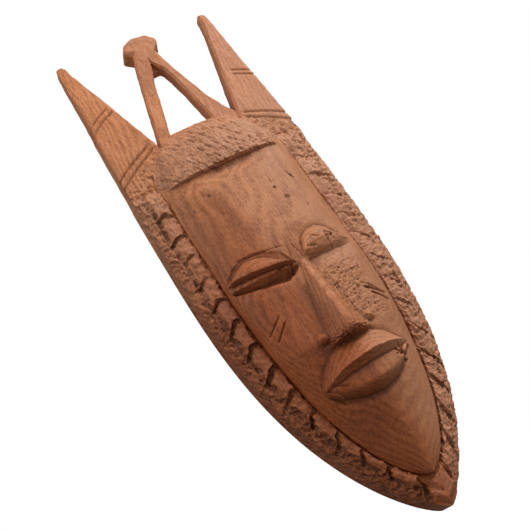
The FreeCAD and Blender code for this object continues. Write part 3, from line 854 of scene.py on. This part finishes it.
def make_knob():
    """Many-sided knob: the distance to the nearest of its knife-cut planes, in every direction."""
    planes = list(KNOB_ENDS)
    for angle, reach in KNOB_SIDES:
        a = math.radians(angle)
        front = 0.985 * (reach + 5.6) / math.hypot(1, 1)
        back = 0.98 * (reach + 1.2 * 5.8) / math.hypot(1, 1.2)
        for lean, distance in ((0.06, reach), (1, front), (-1.2, back)):
            planes.append(((math.cos(a), math.sin(a), lean), distance))
    polar = np.linspace(0.03, math.pi - 0.03, 110)[:, None]
    around = np.linspace(0, TURN, 190, endpoint=False)[None, :]
    way = stack(np.sin(polar) * np.cos(around), np.sin(polar) * np.sin(around), np.cos(polar))
    total = 0
    for normal, distance in planes:
        facing = np.maximum(way @ np.array(normal) / np.linalg.norm(normal), 1e-3)
        total += (facing / distance) ** KNOB_BLEND
    rings = way * (total ** (-1 / KNOB_BLEND))[..., None] + KNOB_MIDDLE
    x, z, d = split(rings)
    height = 0.25 * chips(x + d, z, 4.5, 71)[0] ** 2
    height += 0.18 * rough(rings, 4, 72) + 0.08 * rough(rings, 1, 73) - 0.25
    return carved("carved_knob", displaced(rings, height), 0.15)


def reach_to(shape_edge, angle, low, high):
    """Distance from the hollow's centre to an outline, in a plan direction."""
    near, far = np.zeros(angle.shape), np.full(angle.shape, 240)
    for _ in range(40):
        middle = (near + far) / 2
        x = np.abs(middle * np.sin(angle))
        z = HOLLOW_CENTRE + middle * np.cos(angle)
        inside = (z > low) & (z < high) & (x < shape_edge(clamp(z, low, high)))
        near = np.where(inside, middle, near)
        far = np.where(inside, far, middle)
    return near


def make_back():
    """The back: a flat rim and the gouged hollow, as a thin closed shell."""
    angle = np.linspace(0, TURN, 900, endpoint=False)
    rim = reach_to(outline, angle, 0, SHOULDER)
    mouth = reach_to(hollow_edge, angle, HOLLOW_FOOT, HOLLOW_TOP)
    soft = np.where(HOLLOW_CENTRE + rim * np.cos(angle) > SHOULDER - 0.5, 0.03, 0.4)
    hidden = [(mouth * share, 21.7) for share in (0.02, 0.4, 0.84)]
    hidden += [(mouth * 1.04 + 0.9, 1.4), (rim - 1.6, 1.4), (rim - 0.02, 0.9), (rim - 0.02, 0.45)]
    stations = hidden + [(rim - soft, 0.05)]
    start = rim - soft
    stations += [(start + (mouth + 0.7 - start) * share, 0) for share in np.linspace(0.03, 1, 14)]
    stations += [(mouth + 0.3, 0.12), (mouth, 0.5)]
    for share in np.linspace(0, 1, 22)[1:]:
        stations.append((mouth * (1 - (1 - FLOOR_SCALE) * share), 0.5 + (HOLLOW_DEPTH - 0.5) * share))
    stations += [(mouth * FLOOR_SCALE * share, HOLLOW_DEPTH) for share in np.linspace(1, 0.02, 46)[1:]]
    across, up = np.sin(angle), np.cos(angle)
    rings = np.array([stack(reach * across, HOLLOW_CENTRE + reach * up, depth) for reach, depth in stations])
    x, z, d = split(rings)
    deepened = ease(0.2, 3, d)
    scoops = chips(x / 0.8, (z + d) / 1.6, 8, 81, 0.08)[0] ** 2
    height = deepened * (-1.6 * clamp(0.55 - scoops) + 0.35 * rough(rings, 12, 82) + 0.3)
    height -= (1 - deepened) * (0.25 + 0.25 * rough(rings, (5, 14, 5), 83))
    height += 0.08 * rough(rings, (0.9, 3, 0.9), 84)
    height[:len(hidden)] = 0
    rings[..., 2] = rings[..., 2] - height
    return carved("carved_back", rings)


# ---- materials

MIX_SHARE, MIX_FIRST, MIX_SECOND = 0, 6, 7  # a colour Mix node's sockets
MIX_RESULT = 2


class Signal:
    """A shader node's output, which takes part in sums like a number."""

    def __init__(self, tree, socket):
        self.tree = tree
        self.socket = socket

    def maths(self, operation, *others):
        return add(self.tree, "Math", dict(enumerate((self,) + others)), operation=operation)

    def __add__(self, other):
        return self.maths("ADD", other)

    def __sub__(self, other):
        return self.maths("SUBTRACT", other)

    def __mul__(self, other):
        return self.maths("MULTIPLY", other)


def feed(node, inputs):
    """Gives a node's inputs, by socket name or number, their values or Signals."""
    for key, value in inputs.items():
        if isinstance(value, Signal):
            value.tree.links.new(value.socket, node.inputs[key])
        else:
            node.inputs[key].default_value = value


def add(tree, kind, inputs=None, output=0, **settings):
    """Adds a node and returns one of its outputs."""
    node = tree.nodes.new("ShaderNode" + kind)
    for key, value in settings.items():
        setattr(node, key, value)
    feed(node, inputs or {})
    return Signal(tree, node.outputs[output])


def new_material(name):
    """A material, its shader, and the point's place on the piece in millimetres."""
    material = bpy.data.materials.new(name)
    material.use_nodes = True
    tree = material.node_tree
    spot = add(tree, "TexCoord", output="Object")
    place = add(tree, "VectorMath", {0: spot, "Scale": 1 / MM}, operation="SCALE")
    return material, tree.nodes["Principled BSDF"], place


def remap(value, low, high, to_low=0, to_high=1):
    inputs = {"Value": value, "From Min": low, "From Max": high, "To Min": to_low, "To Max": to_high}
    return add(value.tree, "MapRange", inputs, interpolation_type="SMOOTHSTEP")


def mixed(share, first, second, blend="MIX"):
    inputs = {MIX_SHARE: share, MIX_FIRST: first, MIX_SECOND: second}
    return add(share.tree, "Mix", inputs, MIX_RESULT, data_type="RGBA", blend_type=blend)


def texture(place, scale, detail=2, roughness=0.5, distortion=0):
    """Noise, stretched by a scale along each axis."""
    stretched = add(place.tree, "VectorMath", {0: place, 1: scale}, operation="MULTIPLY")
    inputs = {"Vector": stretched, "Scale": 1, "Detail": detail, "Roughness": roughness}
    inputs["Distortion"] = distortion
    return add(place.tree, "TexNoise", inputs, noise_dimensions="3D")


def bump(shader, height, strength, distance):
    inputs = {"Strength": strength, "Distance": distance, "Height": height}
    feed(shader, {"Normal": add(height.tree, "Bump", inputs)})


def rgb(red, green, blue):
    """A colour given as it looks, 0 to 255, in the linear values that shaders take."""
    values = [channel / 255 for channel in (red, green, blue)]
    return tuple(v / 12.92 if v <= 0.04045 else ((v + 0.055) / 1.055) ** 2.4 for v in values) + (1,)


LIGHT_WOOD = rgb(202, 136, 92)
DARK_WOOD = rgb(130, 70, 38)
LIGHT_PECKED = rgb(200, 142, 106)
DARK_PECKED = rgb(128, 76, 50)
DIRT_AND_SHADE = rgb(58, 30, 17)
# painted sheen, paler and pinker
PAINTED_SHEEN = rgb(184, 131, 101)
# painted shade with a handling stain, multiplied in at the lower left
STAIN_AND_SHADE = (0.66, 0.45, 0.33, 1)  # these three multiply the wood's colour
# painted light: the top, horns and crest, lighter and warmer
PAINTED_TOP_LIGHT = (1.13, 1.06, 0.98, 1)
# paler worn edges and painted highlights
WEAR_AND_HIGHLIGHT = (1.25, 1.22, 1.2, 1)
RING_SPACING = 1.7


def wood(name, light, dark, ring=1, fibre=1, shade_and_dirt=1):
    """Warm carved wood: growth rings, long fibres, pores, dirt and painted shade in the cuts, and paler worn
    edges with painted highlights.
    """
    material, shader, place = new_material(name)
    axes = place.tree.nodes.new("ShaderNodeSeparateXYZ")
    feed(axes, {0: place})
    x, y, z = (Signal(place.tree, output) for output in axes.outputs)

    # growth rings around an axis behind the mask
    wander = texture(place, (0.03, 0.03, 0.012)) * 14
    aside = (x + 9).maths("POWER", 2)
    behind = (y - 38).maths("POWER", 2)
    radius = (aside * 0.75 + behind).maths("SQRT") + wander + z * 0.03
    rings = remap((radius * (TURN / RING_SPACING)).maths("SINE"), -0.9, 1)

    fibres = texture(place, (1.5, 1.5, 0.09), 4, 0.6, 0.4)
    streaks = texture(place, (0.42, 0.42, 0.025), 3, 0.55, 0.3)
    pores = remap(texture(place, (2.4, 2.4, 0.3)), 0.6, 0.72)
    blotch = texture(place, (0.045, 0.045, 0.03), 3, 0.55)
    specks = remap(texture(place, (0.55, 0.55, 0.4), 3, 0.6), 0.68, 0.76)
    fine = texture(place, (1.3, 1.3, 0.5), 3, 0.7)
    tone = (rings - 0.5) * (0.19 * ring)
    for part, strength in ((fibres, 0.75 * fibre), (streaks, 0.42), (blotch, 0.6), (fine, 1.15)):
        tone = tone + (part - 0.5) * strength
    colour = mixed(remap(tone + 0.58, 0, 1), dark, light)
    colour = mixed(pores * 0.32, colour, DIRT_AND_SHADE)
    colour = mixed(specks * 0.35, colour, DIRT_AND_SHADE)

    # painted shade, with a redder handling stain, at the lower left; a painted sheen at the upper right
    corner = z * 0.8 + x.maths("MAXIMUM", -14) * 5
    low = remap(corner, -35, -165) * remap(z, 15, -35)
    colour = mixed(low, colour, STAIN_AND_SHADE, "MULTIPLY")
    # painted sheen, growing towards the upper right
    slope = (z + x * 3).maths("MAXIMUM", x * 9 - z - 180)
    colour = mixed(remap(slope, -60, 160, 0, 0.42), colour, PAINTED_SHEEN)
    # painted light on the top of the mask
    colour = mixed(remap(z, 10, 60), colour, PAINTED_TOP_LIGHT, "MULTIPLY")

    cut = add(place.tree, "Attribute", output="Fac", attribute_name="hollowness")
    # darker in hollows and at the marked places: dirt and painted shade
    colour = mixed(remap(cut, 0.12, 0.95) * (0.5 * shade_and_dirt), colour, DIRT_AND_SHADE)
    # paler worn edges and painted highlights where the mark is below 0
    colour = mixed(remap(cut, -0.2, -0.95) * 0.5, colour, WEAR_AND_HIGHLIGHT, "MULTIPLY")
    matt = (fibres - 0.5) * 0.25 + 0.55
    feed(shader, {"Base Color": colour, "Roughness": matt, "Specular IOR Level": 0.22})
    bump(shader, fibres * 0.8 - pores * 0.8 + rings * (0.1 * ring), 0.55, 0.00022)
    return material


def metal(name, colour, stain, roughness):
    """Plated steel with brushed streaks and dull spots."""
    material, shader, place = new_material(name)
    spots = remap(texture(place, (0.9, 0.9, 0.9), 4, 0.6), 0.45, 0.7)
    streaks = texture(place, (6, 6, 0.7), 3, 0.6)
    matt = streaks * 0.2 + spots * 0.2 + roughness
    feed(shader, {"Base Color": mixed(spots * 0.6, colour, stain), "Roughness": matt, "Metallic": 1})
    bump(shader, streaks, 0.3, 0.00005)
    return material


def floor_material():
    material, shader, place = new_material("pale_floor")
    grain = texture(place, (0.002, 0.002, 0.002))
    pale = mixed(grain, (0.8, 0.8, 0.8, 1), (0.84, 0.84, 0.84, 1))
    feed(shader, {"Base Color": pale, "Roughness": 0.9})
    feed(shader, {"Emission Color": (1, 1, 1, 1), "Emission Strength": 0.42})
    return material


# ---- the object

WOODS = {
    "carved_wood": wood("carved_wood", LIGHT_WOOD, DARK_WOOD),
    "pecked_wood": wood("pecked_wood", LIGHT_PECKED, DARK_PECKED, ring=0.4, fibre=0.8, shade_and_dirt=1.1),
    "back_wood": wood("back_wood", LIGHT_WOOD, DARK_WOOD, shade_and_dirt=0.3),
}
plated = metal("plated_steel", rgb(206, 192, 150), rgb(132, 112, 78), 0.28)
screw_steel = metal("screw_steel", rgb(204, 204, 202), rgb(132, 128, 122), 0.3)


def finish_piece(piece, slot, *nodes):
    piece.data.materials.append(WOODS[slot])
    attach(piece, "mask")
    if nodes:
        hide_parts(*nodes)


LONGEST_RUN = float(PATH_LENGTH[-1])
finish_piece(make_face(), "carved_wood", "forehead", "cheek_left", "cheek_right", "chin", "nose",
             "eyelid_left", "eyelid_right", "upper_lip", "lower_lip")
for word, start, end in (("left", -LONGEST_RUN, -CHIN_REACH), ("right", CHIN_REACH, LONGEST_RUN)):
    border = make_border("carved_border_" + word, start, end)
    finish_piece(border, "pecked_wood", "border_" + word, "border_blocks_" + word)
chin_block = make_border("carved_chin_block", -CHIN_REACH, CHIN_REACH)
finish_piece(chin_block, "carved_wood", "chin_block")
finish_piece(make_hair(), "pecked_wood", "hair_band")
for side, word in ((-1, "left"), (1, "right")):
    finish_piece(make_horn(side, "carved_horn_" + word), "carved_wood", "horn_" + word)
for word, stations, seed in (("left", LEFT_STRUT, 51), ("right", RIGHT_STRUT, 61)):
    finish_piece(bar("carved_crest_strut_" + word, stations, seed), "carved_wood", "crest_strut_" + word)
finish_piece(bar("carved_crest_web", WEB, 66, 0.2), "carved_wood")
finish_piece(make_knob(), "carved_wood", "crest_knob")
finish_piece(make_back(), "back_wood", "back_board")

for node, material in (("hanger_strap", plated), ("hanger_ring", plated), ("hanger_screw", screw_steel)):
    for entry in bpy.data.objects[node].material_slots:
        entry.material = material


# ---- floor, light and camera

FLOOR_HALF_SIZE = 1.2
FLOOR_HEIGHT = TIP - 0.012


def make_floor():
    corners = ((-1, -1), (1, -1), (1, 1), (-1, 1))
    points = [(x * FLOOR_HALF_SIZE, y * FLOOR_HALF_SIZE, FLOOR_HEIGHT) for x, y in corners]
    mesh = bpy.data.meshes.new("floor")
    mesh.from_pydata(points, [], [(0, 1, 2, 3)])
    mesh.materials.append(floor_material())
    floor = new_object("floor", mesh)
    floor.visible_diffuse = False
    floor.visible_glossy = False


def make_light(name, direction, distance, size, power, aim):
    """A square soft box that faces a point of the mask."""
    data = bpy.data.lights.new(name, "AREA")
    data.shape = "SQUARE"
    data.size = size
    data.energy = power
    lamp = new_object(name, data)
    way = Vector(direction).normalized()
    lamp.location = aim + way * distance
    lamp.rotation_mode = "QUATERNION"
    lamp.rotation_quaternion = way.to_track_quat("Z", "Y")


def make_world():
    """White surroundings for the camera, softer as a light."""
    world = bpy.data.worlds.new("studio")
    scene.world = world
    world.use_nodes = True
    background = world.node_tree.nodes["Background"]
    seen = add(world.node_tree, "LightPath", output="Is Camera Ray")
    strength = add(world.node_tree, "MapRange", {"Value": seen, "To Min": 0.18, "To Max": 1})
    feed(background, {"Color": (1, 1, 1, 1), "Strength": strength})


CAMERA_ANGLES = (-17.8, -21.4, -33.8)  # azimuth, elevation and roll, in degrees
CAMERA_DISTANCE = 0.384
CAMERA_TARGET = Vector((-0.012, -0.02, TIP + 0.1523))
LENS = 47.95


def make_camera():
    azimuth, elevation, roll = (math.radians(angle) for angle in CAMERA_ANGLES)
    level = math.cos(elevation)
    back = Vector((math.sin(azimuth) * level, -math.cos(azimuth) * level, math.sin(elevation)))
    right = (-back).cross(Vector((0, 0, 1))).normalized()
    up = right.cross(-back)
    turned_right = right * math.cos(roll) + up * math.sin(roll)
    turned_up = -right * math.sin(roll) + up * math.cos(roll)
    camera = new_object("camera", bpy.data.cameras.new("camera"))
    camera.data.sensor_width = 36
    camera.data.lens = LENS
    place = Matrix((turned_right, turned_up, back)).transposed().to_4x4()
    place.translation = CAMERA_TARGET + back * CAMERA_DISTANCE
    camera.matrix_world = place
    scene.camera = camera


LIGHTS = (
    # (name, direction, distance, size, power)
    ("key", (0.72, -0.62, 0.85), 1.1, 0.6, 11),
    ("side", (-0.85, -0.35, 0.6), 1.3, 0.8, 6.6),
    ("fill", (0.1, -1, 0.1), 1.5, 1, 5.4),
    ("back_fill", (0.3, 1, 0.4), 1.5, 1, 7),
)

make_floor()
middle = (Vector(cad_box[0]) + Vector(cad_box[1])) / 2
for light in LIGHTS:
    make_light(*light, middle)
make_world()
make_camera()
scene.view_settings.view_transform = "Standard"
